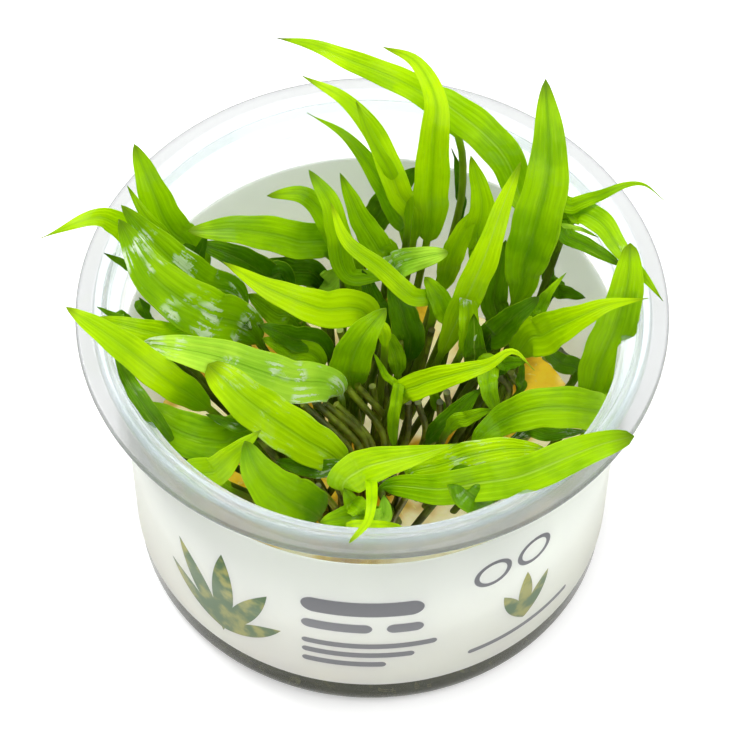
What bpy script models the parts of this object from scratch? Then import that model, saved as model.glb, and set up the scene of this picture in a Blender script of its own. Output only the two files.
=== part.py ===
"""A Cryptocoryne wendtii grown in a clear culture cup.

The cup stands on Z = 0 with its axis on Z and the front of its label towards -Y.
Sizes are in millimetres and turned into metres where a mesh is made.
"""

import math

import bpy
from mathutils import Vector

for old in list(bpy.data.objects):
    bpy.data.objects.remove(old, do_unlink=True)

MM = 0.001

# Cup
RIM_RADIUS = 50.0
RIM_HEIGHT = 61.2
FLANGE_HEIGHT = 60.4
FLANGE_THICKNESS = 1.0
SEAT_RADIUS = 44.0
WALL_TOP_RADIUS = 42.9
WALL_BASE_RADIUS = 40.8
WALL_TOP_HEIGHT = 57.0
WALL_THICKNESS = 0.8
BASE_CORNER = 3.0
TURN_STEPS = 48

# Label
LABEL_LOW = 7.3
LABEL_HIGH = 46.7
LABEL_THICKNESS = 0.35

# Gel
GEL_HEIGHT = 10.0
GEL_LUMP = 0.9

# Gap kept between two pieces that touch
GAP = 0.3

# Leaves
ROOT_HEIGHT = 10.75
STALK_RADIUS = 0.65
STALK_RINGS = 5
BLADE_RINGS = 9
WIDEST_AT = 0.42
ROUNDNESS = 1.5
FOLD = 0.12
TIP_WIDTH = 0.1
FACING = Vector((0.0, -0.58, 0.815))

# Colours
BRIGHT = (0.30, 0.62, 0.02)
MIDDLE = (0.17, 0.42, 0.02)
SHADED = (0.06, 0.20, 0.015)
PALE = (0.42, 0.66, 0.12)


def new_collection(name):
    collection = bpy.data.collections.new(name)
    bpy.context.scene.collection.children.link(collection)
    return collection


part = new_collection("cryptocoryne_in_cup")


def material(name, colour, roughness, alpha=1.0):
    made = bpy.data.materials.new(name)
    made.use_nodes = True
    shader = made.node_tree.nodes["Principled BSDF"]
    shader.inputs["Base Color"].default_value = (*colour, 1.0)
    shader.inputs["Roughness"].default_value = roughness
    shader.inputs["Metallic"].default_value = 0.0
    shader.inputs["Alpha"].default_value = alpha
    return made


def add_object(name, mesh, surface):
    made = bpy.data.objects.new(name, mesh)
    made.data.materials.append(surface)
    part.objects.link(made)
    return made


def wall_radius(height):
    """Outer radius of the cup's wall at a height."""
    share = height / WALL_TOP_HEIGHT
    return WALL_BASE_RADIUS + (WALL_TOP_RADIUS - WALL_BASE_RADIUS) * share


def corner(radius, floor, size, steps=3):
    """Points of a quarter circle from a wall of this radius down to a floor."""
    points = []
    for step in range(steps + 1):
        angle = math.pi / 2 * step / steps
        points.append((radius - size + size * math.cos(angle), floor + size - size * math.sin(angle)))
    return points


def turn(name, points, surface, closed):
    """Turn a profile of (radius, height) points round Z with a Screw modifier."""
    mesh = bpy.data.meshes.new(name)
    vertices = [(radius * MM, 0.0, height * MM) for radius, height in points]
    edges = [(index, index + 1) for index in range(len(points) - 1)]
    if closed:
        edges.append((len(points) - 1, 0))
    mesh.from_pydata(vertices, edges, [])
    made = add_object(name, mesh, surface)
    screw = made.modifiers.new("turn", "SCREW")
    screw.axis = "Z"
    screw.angle = 2 * math.pi
    screw.steps = screw.render_steps = TURN_STEPS
    screw.use_merge_vertices = True
    screw.merge_threshold = 0.00001
    return made


def cup():
    """Thin tub: inside floor, inner wall, lid seat, flanged rim, outer wall, flat base."""
    inner_top = WALL_TOP_RADIUS - WALL_THICKNESS
    inner_base = wall_radius(BASE_CORNER) - WALL_THICKNESS
    inside = [(0.0, WALL_THICKNESS)]
    inside += corner(inner_base, WALL_THICKNESS, BASE_CORNER - WALL_THICKNESS)[::-1]
    inside += [(inner_top, WALL_TOP_HEIGHT), (SEAT_RADIUS, WALL_TOP_HEIGHT + 0.8)]
    rim = [
        (SEAT_RADIUS, RIM_HEIGHT - 0.4),
        (SEAT_RADIUS + 0.5, RIM_HEIGHT),
        (SEAT_RADIUS + 2.6, RIM_HEIGHT),
        (SEAT_RADIUS + 3.2, FLANGE_HEIGHT),
        (RIM_RADIUS - 0.4, FLANGE_HEIGHT),
        (RIM_RADIUS, FLANGE_HEIGHT - 0.4),
        (RIM_RADIUS, FLANGE_HEIGHT - FLANGE_THICKNESS),
        (SEAT_RADIUS + 1.4, FLANGE_HEIGHT - FLANGE_THICKNESS),
        (SEAT_RADIUS + 0.9, WALL_TOP_HEIGHT - 0.6),
        (WALL_TOP_RADIUS, WALL_TOP_HEIGHT - 1.2),
    ]
    outside = corner(wall_radius(BASE_CORNER), 0.0, BASE_CORNER) + [(0.0, 0.0)]
    clear = material("clear_plastic", (0.86, 0.92, 0.94), 0.08, alpha=0.3)
    turn("cup", inside + rim + outside, clear, closed=False)


def label():
    """Printed band round the wall, a gap away from it."""
    low = wall_radius(LABEL_LOW) + GAP
    high = wall_radius(LABEL_HIGH) + GAP
    points = [
        (low, LABEL_LOW),
        (high, LABEL_HIGH),
        (high + LABEL_THICKNESS, LABEL_HIGH),
        (low + LABEL_THICKNESS, LABEL_LOW),
    ]
    turn("label", points, material("white_film", (0.86, 0.86, 0.86), 0.45), closed=True)


def gel():
    """Growing gel that fills the bottom of the cup, with shallow dips in its top."""
    low_corner = BASE_CORNER - WALL_THICKNESS
    side = wall_radius(BASE_CORNER) - WALL_THICKNESS - GAP
    top_rings = [side * share for share in (0.0, 0.2, 0.4, 0.6, 0.8)]
    points = [(radius, GEL_HEIGHT) for radius in top_rings]
    points.append((wall_radius(GEL_HEIGHT) - WALL_THICKNESS - GAP, GEL_HEIGHT))
    points += corner(side, WALL_THICKNESS + GAP, low_corner) + [(0.0, WALL_THICKNESS + GAP)]
    made = turn("gel", points, material("amber_gel", (0.36, 0.34, 0.07), 0.15, alpha=0.85), closed=False)
    graph = bpy.context.evaluated_depsgraph_get()
    mesh = bpy.data.meshes.new_from_object(made.evaluated_get(graph))
    made.modifiers.clear()
    made.data = mesh
    for vertex in mesh.vertices:
        if vertex.co.z > (GEL_HEIGHT - 0.01) * MM:
            x, y = vertex.co.x / MM, vertex.co.y / MM
            wave = math.sin(0.31 * x + 0.7) * math.cos(0.27 * y - 0.4) + math.sin(0.17 * (x + y))
            vertex.co.z -= GEL_LUMP * (0.5 + 0.25 * wave) * MM


def smooth_path(points, steps=12):
    """Catmull-Rom curve through the points, as a list of points."""
    first = points[0] * 2 - points[1]
    last = points[-1] * 2 - points[-2]
    ends = [first] + points + [last]
    path = []
    for a, b, c, d in zip(ends, ends[1:], ends[2:], ends[3:]):
        for step in range(steps):
            t = step / steps
            bend = 2 * a - 5 * b + 4 * c - d
            twist = 3 * b - a - 3 * c + d
            path.append(0.5 * (2 * b + (c - a) * t + bend * t * t + twist * t ** 3))
    path.append(points[-1])
    return path


def even_points(path, count):
    """The given number of spans of equal length along a path."""
    lengths = [0.0]
    for a, b in zip(path, path[1:]):
        lengths.append(lengths[-1] + (b - a).length)
    even = []
    span = 0
    for index in range(count + 1):
        goal = lengths[-1] * index / count
        while span < len(path) - 2 and lengths[span + 1] < goal:
            span += 1
        share = (goal - lengths[span]) / (lengths[span + 1] - lengths[span])
        even.append(path[span].lerp(path[span + 1], share))
    return even


def blade_share(s):
    """Width of a lance-shaped blade at s from 0 at its base to 1 at its tip."""
    rise = (s / WIDEST_AT) ** (ROUNDNESS * WIDEST_AT)
    fall = ((1 - s) / (1 - WIDEST_AT)) ** (ROUNDNESS * (1 - WIDEST_AT))
    return rise * fall


def half_thickness(s):
    """Half the thickness of a leaf at s along its blade: a stalk at 0, thin at 1."""
    stages = ((0.0, STALK_RADIUS * 0.9), (0.12, 0.5), (0.3, 0.36), (1.0, 0.2))
    for (s0, t0), (s1, t1) in zip(stages, stages[1:]):
        if s <= s1:
            return t0 + (t1 - t0) * (s - s0) / (s1 - s0)
    return stages[-1][1]


def leaf(name, root, stalk, blade, width, colour=MIDDLE, turned=0.0):
    """One leaf: a stalk from the root to its last stalk point, then a blade to its tip.

    The blade looks along FACING unless it is turned about its midrib by some degrees.
    """
    points = [Vector((*root, ROOT_HEIGHT))] + [Vector(point) for point in stalk + blade]
    path = smooth_path(points)
    neck = 12 * len(stalk)
    line = even_points(path[: neck + 1], STALK_RINGS)
    line += even_points(path[neck:], BLADE_RINGS)[1:]
    turn_angle = math.radians(turned)
    vertices = []
    for index, centre in enumerate(line):
        s = max(0, index - STALK_RINGS) / BLADE_RINGS
        before, after = line[max(index - 1, 0)], line[min(index + 1, len(line) - 1)]
        along = (after - before).normalized()
        across = along.cross(FACING).normalized()
        outward = across.cross(along)
        side = across * math.cos(turn_angle) + outward * math.sin(turn_angle)
        face = outward * math.cos(turn_angle) - across * math.sin(turn_angle)
        share = blade_share(s)
        half_width = max(STALK_RADIUS * (1 - 0.6 * s), share * width / 2)
        if index == len(line) - 1:
            half_width = TIP_WIDTH / 2
        lift = face * FOLD * share * width / 2
        thick = face * half_thickness(s)
        ring = [centre - side * half_width + lift, centre + thick]
        ring += [centre + side * half_width + lift, centre - thick]
        vertices += [corner_point * MM for corner_point in ring]
    faces = []
    for ring in range(len(line) - 1):
        for edge in range(4):
            here, there = 4 * ring + edge, 4 * ring + (edge + 1) % 4
            faces.append((here, there, there + 4, here + 4))
    end = 4 * (len(line) - 1)
    faces += [(3, 2, 1, 0), (end, end + 1, end + 2, end + 3)]
    mesh = bpy.data.meshes.new(name)
    mesh.from_pydata(vertices, [], faces)
    mesh.validate()
    add_object(name, mesh, material(name + "_green", colour, 0.25))


cup()
label()
gel()

# Back of the cup
leaf("leaf_arch_left", (6, 19), [(14, 31, 40.5), (15.5, 34.5, 51.5), (14.5, 36.5, 61)],
     [(10.5, 39.5, 68), (4, 41, 71.5), (-4, 44, 72.5), (-16.5, 50, 69.5)], 5.5, BRIGHT)
leaf("leaf_arch_right", (14, 13), [(25.5, 22.5, 51.5)],
     [(24.5, 25, 59.5), (22.5, 28, 65.5), (18, 31, 68.5), (13, 35.5, 70), (8.5, 39.5, 70)], 7)
leaf("leaf_back_tall", (3, 14), [(9, 25.5, 44)],
     [(9.5, 26.5, 60), (10, 30.5, 74), (7, 36.5, 80.5), (1.5, 39.5, 81.5)], 6.5, BRIGHT)
leaf("leaf_back_2", (0.5, 15.5), [(7, 28, 42.5)],
     [(4, 29, 57.5), (-0.5, 33.5, 65), (-6, 38, 69), (-12.5, 42.5, 68.5)], 4.5, BRIGHT)
leaf("leaf_back_3", (0.5, 12), [(6, 26, 48.5)], [(3, 28, 59), (-0.5, 30.5, 67.5), (-3, 34, 73)], 2.5)
leaf("leaf_back_4", (-2, 18), [(5.5, 29, 38.5)],
     [(4, 29.5, 47.5), (0, 30, 58), (-5.5, 33, 65.5), (-11.5, 37.5, 65.5)], 4)
leaf("leaf_back_low", (-2.5, 24), [(-1.5, 35.5, 30.5)],
     [(0, 36, 37.5), (4, 36.5, 46), (7.5, 37, 51.5)], 5, SHADED)
leaf("leaf_mid_back", (6.5, 14), [(17.5, 24.5, 40.5)],
     [(18, 23.5, 50), (18.5, 23.5, 60), (16.5, 23, 72.5)], 4.5, BRIGHT)
leaf("leaf_mid_low", (5.5, 13), [(12.5, 22, 37.5)], [(13.5, 21, 45.5), (16, 22, 55.5)], 4, BRIGHT)
leaf("leaf_mid_tall", (6, 12), [(12, 8.5, 35.5)],
     [(15.5, 8, 51), (19, 7, 66.5), (22, 9, 76.5), (24.5, 13.5, 83.5)], 5.5, BRIGHT, turned=-15)

# Right side
leaf("leaf_right_tall", (11.5, 8), [(24.5, 14.5, 42)],
     [(26, 14, 53), (27.5, 13, 66.5), (29, 15.5, 80), (28, 24.5, 92)], 8)
leaf("leaf_right_high", (16.5, 9.5), [(29.5, 22.5, 53.5)],
     [(34.5, 19.5, 63), (38.5, 19, 68), (43.5, 18.5, 71), (49, 14.5, 71.5)], 3.5)
leaf("leaf_right_dark", (18.5, 6), [(29.5, 21, 52)],
     [(34.5, 14, 61), (38, 8.5, 65.5), (41, 6, 65)], 3, SHADED)
leaf("leaf_right_arch", (21, 8.5), [(33, 21.5, 55)],
     [(37, 18.5, 63), (41.5, 11, 67), (45.5, 3, 67.5), (48.5, -0.5, 64.5)], 4)
leaf("leaf_right_hang", (24, -3.5), [(36.5, -0.5, 31)],
     [(37, -3.5, 45), (39, -2.5, 59), (41.5, 1, 66.5), (42.5, 6, 70)], 6.5)
leaf("leaf_right_front", (16, -2), [(25, 5.5, 39)],
     [(30, 1.5, 50), (35, -1, 60), (40, -2.5, 65.5), (45.5, -2.5, 67)], 6, BRIGHT)
leaf("leaf_right_mid", (14, 2), [(19.5, 9, 36)], [(22, 6, 46), (24.5, 4, 54), (28, 4, 58)], 4.5, SHADED)
leaf("leaf_right_fold", (14, 5), [(27, 10, 42)], [(28.5, 6.5, 52), (30.5, 4.5, 59.5), (32.5, 5.5, 63.5)], 2.5)

# Centre
leaf("leaf_centre_curl", (3.5, 0), [(5, -3, 37.5)],
     [(11.5, -7, 48.5), (18, -10, 55.5), (23, -8.5, 60), (27, -10, 57.5)], 4.5, BRIGHT)
leaf("leaf_centre_drop", (8, 2), [(17.5, 3.5, 37)], [(20, -4, 45), (21.5, -6, 43), (22.5, -6, 37)], 2.5)
leaf("leaf_fan_1", (-3.5, 10), [(4.5, 16, 44)], [(0, 16.5, 56.5), (-5, 19, 64), (-10.5, 22.5, 68.5)], 3.5)
leaf("leaf_fan_2", (-2, 12), [(2.5, 23.5, 39.5)], [(-0.5, 22.5, 52), (-3, 22, 60.5), (-5, 23.5, 66.5)], 3)
leaf("leaf_fan_3", (-5, 10.5), [(-3, 20, 35)],
     [(-5, 19.5, 48), (-8, 20, 57.5), (-13, 21.5, 64), (-18, 21.5, 62)], 3.5)
leaf("leaf_fan_4", (2.5, 7.5), [(10.5, 12, 42.5)],
     [(6, 9.5, 51.5), (1, 10, 58), (-5.5, 13, 64)], 2.5, BRIGHT)
leaf("leaf_centre_pale", (2.5, 10), [(4, 21, 39.5)], [(5.5, 18.5, 47), (8.5, 16, 52.5), (12.5, 18, 53)], 4.5, PALE)
leaf("leaf_centre_short", (8.5, 4), [(13.5, 11.5, 39)], [(11.5, 11, 47), (9, 11.5, 53.5)], 3)
leaf("leaf_centre_rib", (10, 6), [(17, 6, 34)], [(17.5, 5, 44), (17.5, 6, 51)], 3.5, SHADED)
leaf("leaf_centre_dark", (1, 6), [(7.5, 10, 34)], [(5.5, 12, 41.5), (3, 16, 46)], 3.5, SHADED)
leaf("leaf_centre_tongue", (0, 2.5), [(1, 5.5, 37.5)], [(3, -2, 42), (4.5, -5.5, 40.5), (4, -8.5, 32.5)], 2)
leaf("leaf_centre_broad", (-2, 3), [(-3.5, 2.5, 33.5)], [(-3.5, 0.5, 43.5), (-1.5, 0, 51.5), (2, 1, 58)], 6.5)

# Front
leaf("leaf_front_dark", (6, -1), [(10, -6, 30)], [(14, -5.5, 36), (18.5, -2, 40)], 3.5, SHADED)
leaf("leaf_front_right_high", (9.5, -5.5), [(17.5, -15, 42)],
     [(23.5, -15, 49), (31, -14, 51.5), (36.5, -12, 49), (40, -8, 44.5)], 7)
leaf("leaf_front_right_low", (14.5, -6.5), [(25, -8, 34.5)], [(30.5, -12.5, 42), (36, -14, 44.5)], 2.5, SHADED)
leaf("leaf_front_long", (5, -9), [(2, -24, 42)],
     [(11.5, -31.5, 54.5), (22, -34.5, 62), (32.5, -33.5, 65.5), (43, -29.5, 66)], 7)
leaf("leaf_front_right_mid", (9, -4), [(6.5, -24, 46)],
     [(13, -26.5, 54), (20.5, -26.5, 57.5), (29, -27.5, 57.5)], 3.5, BRIGHT)
leaf("leaf_front_curl", (6.5, -11.5), [(14, -28.5, 51)],
     [(16, -33.5, 54.5), (18, -35.5, 54), (20.5, -34.5, 50.5)], 4.5, SHADED)
leaf("leaf_front_high", (-0.5, -8.5), [(-4.5, -32.5, 53.5)],
     [(0, -33, 61), (6.5, -33, 64), (15, -29, 63.5)], 6, BRIGHT)
leaf("leaf_front_tongue", (0, -10.5), [(0, -29, 51)],
     [(0.5, -38, 59), (-0.5, -45, 63), (-3, -49, 63)], 2.5, BRIGHT)
leaf("leaf_front_lip", (3.5, -11), [(1.5, -31.5, 43.5)], [(-4, -33.5, 48), (-8.5, -36, 48.5)], 3.5)
leaf("leaf_front_side", (-8, -4), [(-5, -18, 38.5)], [(-10, -21.5, 44), (-16, -23, 48)], 3.5, SHADED)
leaf("leaf_front_left", (-6.5, -11), [(-9, -27.5, 38.5)],
     [(-14, -30.5, 48.5), (-18, -30.5, 55), (-21, -26, 58)], 8)

# Left side
leaf("leaf_left_back", (-8.5, 9), [(-29.5, 17.5, 47.5)],
     [(-33, 15.5, 61), (-36, 15, 72), (-40, 19.5, 79.5)], 4.5)
leaf("leaf_left_back_low", (-14.5, 8.5), [(-33, 16, 48)],
     [(-36, 13, 62), (-39, 12.5, 69), (-42, 13.5, 74.5)], 2.5)
leaf("leaf_left_wet", (-11.5, 4.5), [(-22, 13, 42)], [(-27.5, 9.5, 54), (-34, 9, 64.5), (-42, 11.5, 73.5)], 7)
leaf("leaf_left_broad", (-8, 2.5), [(-19.5, 6.5, 41.5)],
     [(-27.5, -0.5, 57.5), (-36, 2, 66.5), (-42.5, 9, 71.5)], 9)
leaf("leaf_left_out", (-15.5, 3.5), [(-34, 10, 52)],
     [(-39.5, 11.5, 65), (-47, 10.5, 70), (-55.5, 4.5, 72)], 3.5, BRIGHT)
leaf("leaf_left_mid", (-10, 0), [(-26, 5, 42)], [(-33, -2, 56), (-40, -5, 64), (-46.5, -6, 65)], 5, BRIGHT)
leaf("leaf_left_long", (-11.5, -3), [(-28, -13, 49)],
     [(-34.5, -16.5, 60), (-42.5, -12.5, 67), (-51.5, -5.5, 67)], 7.5, BRIGHT)
leaf("leaf_left_pale", (-6.5, 1), [(-5.5, -2.5, 39)],
     [(-14.5, -8.5, 53), (-26, -11.5, 63.5), (-38.5, -8.5, 61.5)], 7, PALE)
leaf("leaf_left_fold", (-3, -1.5), [(-6.5, -15.5, 37.5)],
     [(-12.5, -19, 50), (-20, -18, 58), (-27.5, -13, 63)], 7, BRIGHT)
leaf("leaf_left_low", (-10.5, -6.5), [(-20, -14, 40.5)],
     [(-25, -18, 47.5), (-31.5, -18, 50.2), (-38, -12.5, 50)], 8)
leaf("leaf_left_tip", (-10, -9), [(-28.5, -25.5, 46)],
     [(-25.5, -26, 52), (-22, -25, 56), (-18, -22.5, 58)], 4.5, BRIGHT)
leaf("leaf_left_wall", (-13.5, -4), [(-32.5, -9, 34.5)], [(-36.5, -12, 46), (-40, -8.5, 49.5)], 3, SHADED)
leaf("leaf_left_high", (-6, 8.5), [(-5.5, 22, 43.5)],
     [(-13, 18, 55.5), (-22.5, 14, 64), (-31, 10.5, 67.5)], 6)
leaf("leaf_left_under", (-7.5, 6.5), [(-14.5, 18.5, 40.5)],
     [(-18, 16.5, 47), (-23, 15, 53.5), (-29.5, 16, 56.5)], 3.5, SHADED)
leaf("leaf_left_bright", (-4.5, 5), [(-0.5, 11, 41)],
     [(-9.5, 5.5, 53), (-18, 3.5, 61.5), (-25, 4.5, 67)], 6, BRIGHT)
leaf("leaf_left_inner", (-5, 3), [(-7.5, 8, 35.5)], [(-13.5, 5, 44.5), (-19.5, 3.5, 50)], 4.5, SHADED)
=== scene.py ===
"""The looks of a Cryptocoryne wendtii that grows in a clear culture cup.

Sizes are in millimetres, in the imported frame: the cup stands on Z = 0 with its
axis on Z and the front of its label towards -Y.
"""

import math
from functools import reduce

import bpy
from mathutils import Matrix, Vector, noise


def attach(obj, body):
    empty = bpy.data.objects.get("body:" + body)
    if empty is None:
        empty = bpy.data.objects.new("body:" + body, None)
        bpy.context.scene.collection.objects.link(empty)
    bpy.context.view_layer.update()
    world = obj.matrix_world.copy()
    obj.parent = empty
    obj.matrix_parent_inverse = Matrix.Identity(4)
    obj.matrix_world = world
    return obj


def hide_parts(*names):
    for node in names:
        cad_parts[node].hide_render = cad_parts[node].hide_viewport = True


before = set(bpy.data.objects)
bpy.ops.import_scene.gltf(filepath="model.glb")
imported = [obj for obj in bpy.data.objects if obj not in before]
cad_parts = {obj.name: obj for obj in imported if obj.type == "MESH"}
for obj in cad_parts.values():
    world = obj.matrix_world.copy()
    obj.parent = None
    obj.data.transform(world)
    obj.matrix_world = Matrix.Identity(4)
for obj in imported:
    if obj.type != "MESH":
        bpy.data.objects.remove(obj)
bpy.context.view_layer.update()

# Cup
# A thin tub of clear polypropylene, moulded in one piece with a lid seat and a
# flat flanged rim. It carries the gel inside and the label round its wall.
MM = 0.001
PER_METRE = 1000.0
RIM_RADIUS = 50.0
RIM_HEIGHT = 61.2
FLANGE_HEIGHT = 60.4
FLANGE_THICKNESS = 1.0
SEAT_RADIUS = 44.6
WALL_TOP_RADIUS = 42.9
WALL_BASE_RADIUS = 40.8
WALL_TOP_HEIGHT = 57.0
WALL_THICKNESS = 0.8
BASE_CORNER = 3.0
CUP_STEPS = 180
FOOT_TOP = 7.0
CLEAR_TINT = (0.73, 0.79, 0.83)
CLEAR_SHADE = (0.64, 0.72, 0.77)
FLANGE_TINT = (0.50, 0.51, 0.515)
EDGE_TINT = (0.30, 0.31, 0.32)
# Painted view of the shaded gel through the foot of the wall
FOOT_PAINTED_GEL = (0.085, 0.090, 0.045)
WALL_COVER = 0.20
FOOT_COVER = 0.62
RIM_COVER = 0.56


class Strand:
    """One value in a finish: sums on it become Math nodes of the same finish."""

    def __init__(self, tree, socket=None):
        self.tree, self.socket = tree, socket

    def node(self, kind, settings=None, sockets=None, out=0):
        """Any node: its settings first, then the values or links of its sockets."""
        made = self.tree.nodes.new(kind)
        for name, value in (settings or {}).items():
            setattr(made, name, value)
        for name, value in (sockets or {}).items():
            if isinstance(value, Strand):
                self.tree.links.new(value.socket, made.inputs[name])
            else:
                made.inputs[name].default_value = value
        return Strand(self.tree, made.outputs[out] if len(made.outputs) else None)

    def maths(self, operation, *values):
        return self.node("ShaderNodeMath", {"operation": operation}, dict(enumerate(values)))

    def __add__(self, other):
        return self.maths("ADD", self, other)

    def __sub__(self, other):
        return self.maths("SUBTRACT", self, other)

    def __mul__(self, other):
        return self.maths("MULTIPLY", self, other)

    def __pow__(self, other):
        return self.maths("POWER", self, other)

    def __radd__(self, other):
        return self.maths("ADD", other, self)

    def __rsub__(self, other):
        return self.maths("SUBTRACT", other, self)

    def __rmul__(self, other):
        return self.maths("MULTIPLY", other, self)

    def __neg__(self):
        return self.maths("MULTIPLY", self, -1.0)

    def __abs__(self):
        return self.maths("ABSOLUTE", self)

    def sine(self):
        return self.maths("SINE", self)

    def larger(self, other):
        return self.maths("MAXIMUM", self, other)

    def smaller(self, other):
        return self.maths("MINIMUM", self, other)

    def ramp(self, low, high):
        """0 below low, 1 above high and smooth between."""
        sockets = {"Value": self, "From Min": low, "From Max": high}
        return self.node("ShaderNodeMapRange", {"interpolation_type": "SMOOTHSTEP"}, sockets)

    def blend(self, first, second):
        """A colour that goes from the first to the second as this value goes from 0 to 1."""
        first = first if isinstance(first, Strand) else (*first, 1.0)
        second = second if isinstance(second, Strand) else (*second, 1.0)
        return self.node("ShaderNodeMix", {"data_type": "RGBA"}, {0: self, 6: first, 7: second}, out=2)

    def place(self):
        """The point on the piece, in metres."""
        return self.node("ShaderNodeTexCoord", out="Object")

    def axes(self, vector, names):
        """The named parts of a vector, such as X and Y, each as a value of its own."""
        return [self.node("ShaderNodeSeparateXYZ", None, {"Vector": vector}, out=name) for name in names]

    def noise(self, vector, scale, detail, distortion=0.0):
        sockets = {"Vector": vector, "Scale": scale, "Detail": detail, "Distortion": distortion}
        return self.node("ShaderNodeTexNoise", None, sockets)

    def bump(self, height, strength, distance):
        sockets = {"Height": height, "Strength": strength, "Distance": distance}
        return self.node("ShaderNodeBump", None, sockets)

    def skin(self, **sockets):
        """A Principled BSDF; its sockets are named with _ for each space."""
        named = {name.replace("_", " "): value for name, value in sockets.items()}
        return self.node("ShaderNodeBsdfPrincipled", None, named)

    def surface(self, shader):
        self.node("ShaderNodeOutputMaterial", None, {"Surface": shader})


def new_finish(name):
    """A bare finish, and a strand to hang its nodes on."""
    made = bpy.data.materials.new(name)
    made.use_nodes = True
    made.node_tree.nodes.clear()
    return made, Strand(made.node_tree)


def add_object(name, data):
    made = bpy.data.objects.new(name, data)
    bpy.context.scene.collection.objects.link(made)
    return made


def add_piece(name, mesh, finish, replaced=None):
    """Put a finished mesh in the scene, on the body and in place of its CAD node."""
    piece = add_object(name, mesh)
    mesh.materials.clear()
    mesh.materials.append(finish)
    for face in mesh.polygons:
        face.use_smooth = True
    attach(piece, "root")
    if replaced:
        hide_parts(replaced)
    return piece


def evaluated_mesh(piece, name):
    """The mesh that an object's modifiers make; the object itself is removed."""
    graph = bpy.context.evaluated_depsgraph_get()
    mesh = bpy.data.meshes.new_from_object(piece.evaluated_get(graph))
    mesh.name = name
    bpy.data.objects.remove(piece)
    return mesh


def wall_radius(height):
    """Outer radius of the tub's wall at a height."""
    share = height / WALL_TOP_HEIGHT
    return WALL_BASE_RADIUS + (WALL_TOP_RADIUS - WALL_BASE_RADIUS) * share


def rounded(outline, size=0.3, steps=4):
    """An outline of (radius, height) points with every inner corner rounded off."""
    points = [outline[0]]
    for before, at, after in zip(outline, outline[1:], outline[2:]):
        before, at, after = Vector(before), Vector(at), Vector(after)
        cut = min(size, (at - before).length * 0.45, (after - at).length * 0.45)
        start = at + (before - at).normalized() * cut
        end = at + (after - at).normalized() * cut
        for step in range(steps + 1):
            t = step / steps
            points.append(tuple(start * (1 - t) ** 2 + at * 2 * t * (1 - t) + end * t * t))
    return points + [outline[-1]]


def quarter(radius, floor, size, steps=8):
    """Points of a quarter circle from a wall of this radius down to a floor."""
    angles = [math.pi / 2 * step / steps for step in range(steps + 1)]
    return [(radius - size + size * math.cos(a), floor + size - size * math.sin(a)) for a in angles]


def turned_mesh(name, outline, closed=False):
    """A mesh turned round Z from an outline of (radius, height) points."""
    mesh = bpy.data.meshes.new(name + "_outline")
    edges = [(index, index + 1) for index in range(len(outline) - 1)]
    if closed:
        edges.append((len(outline) - 1, 0))
    mesh.from_pydata([(radius * MM, 0.0, height * MM) for radius, height in outline], edges, [])
    lathe = add_object(name + "_outline", mesh)
    screw = lathe.modifiers.new("turn", "SCREW")
    screw.axis = "Z"
    screw.angle = 2 * math.pi
    screw.steps = screw.render_steps = CUP_STEPS
    screw.use_merge_vertices = True
    screw.merge_threshold = 0.00001
    return evaluated_mesh(lathe, name)


def clear_plastic():
    """Clear wall, a milkier rim, and a foot below the label with a painted view of the shaded olive gel
    behind it.
    """
    made, finish = new_finish("clear_plastic")
    place = finish.place()
    x, y, z = finish.axes(place, "XYZ")
    radius = (x * x + y * y) ** 0.5 * PER_METRE
    height = z * PER_METRE
    flange = radius.ramp(SEAT_RADIUS + 1.5, SEAT_RADIUS + 3.0)
    edge = radius.ramp(RIM_RADIUS - 0.6, RIM_RADIUS - 0.3)
    foot = 1.0 - height.ramp(FOOT_TOP - 0.4, FOOT_TOP + 0.4)
    rim = height.ramp(WALL_TOP_HEIGHT - 4.0, WALL_TOP_HEIGHT + 1.0)
    haze = finish.noise(place, 90.0, 4.0)
    scuffs = finish.noise(place, 900.0, 2.0)
    # The foot's olive is painted: it stands in for the gel seen through the wall, in shade near the table.
    wall_tint = foot.blend(haze.blend(CLEAR_TINT, CLEAR_SHADE), FOOT_PAINTED_GEL)
    finish.surface(finish.skin(
        Base_Color=edge.blend(flange.blend(wall_tint, FLANGE_TINT), EDGE_TINT),
        Roughness=0.10 + 0.12 * haze.ramp(0.45, 0.75),
        Normal=finish.bump(haze + 0.1 * scuffs, 0.12, 0.0006),
        IOR=1.36,
        Transmission_Weight=0.75,
        Specular_IOR_Level=0.35,
        Alpha=WALL_COVER + FOOT_COVER * foot + RIM_COVER * rim,
    ))
    return made


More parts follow.
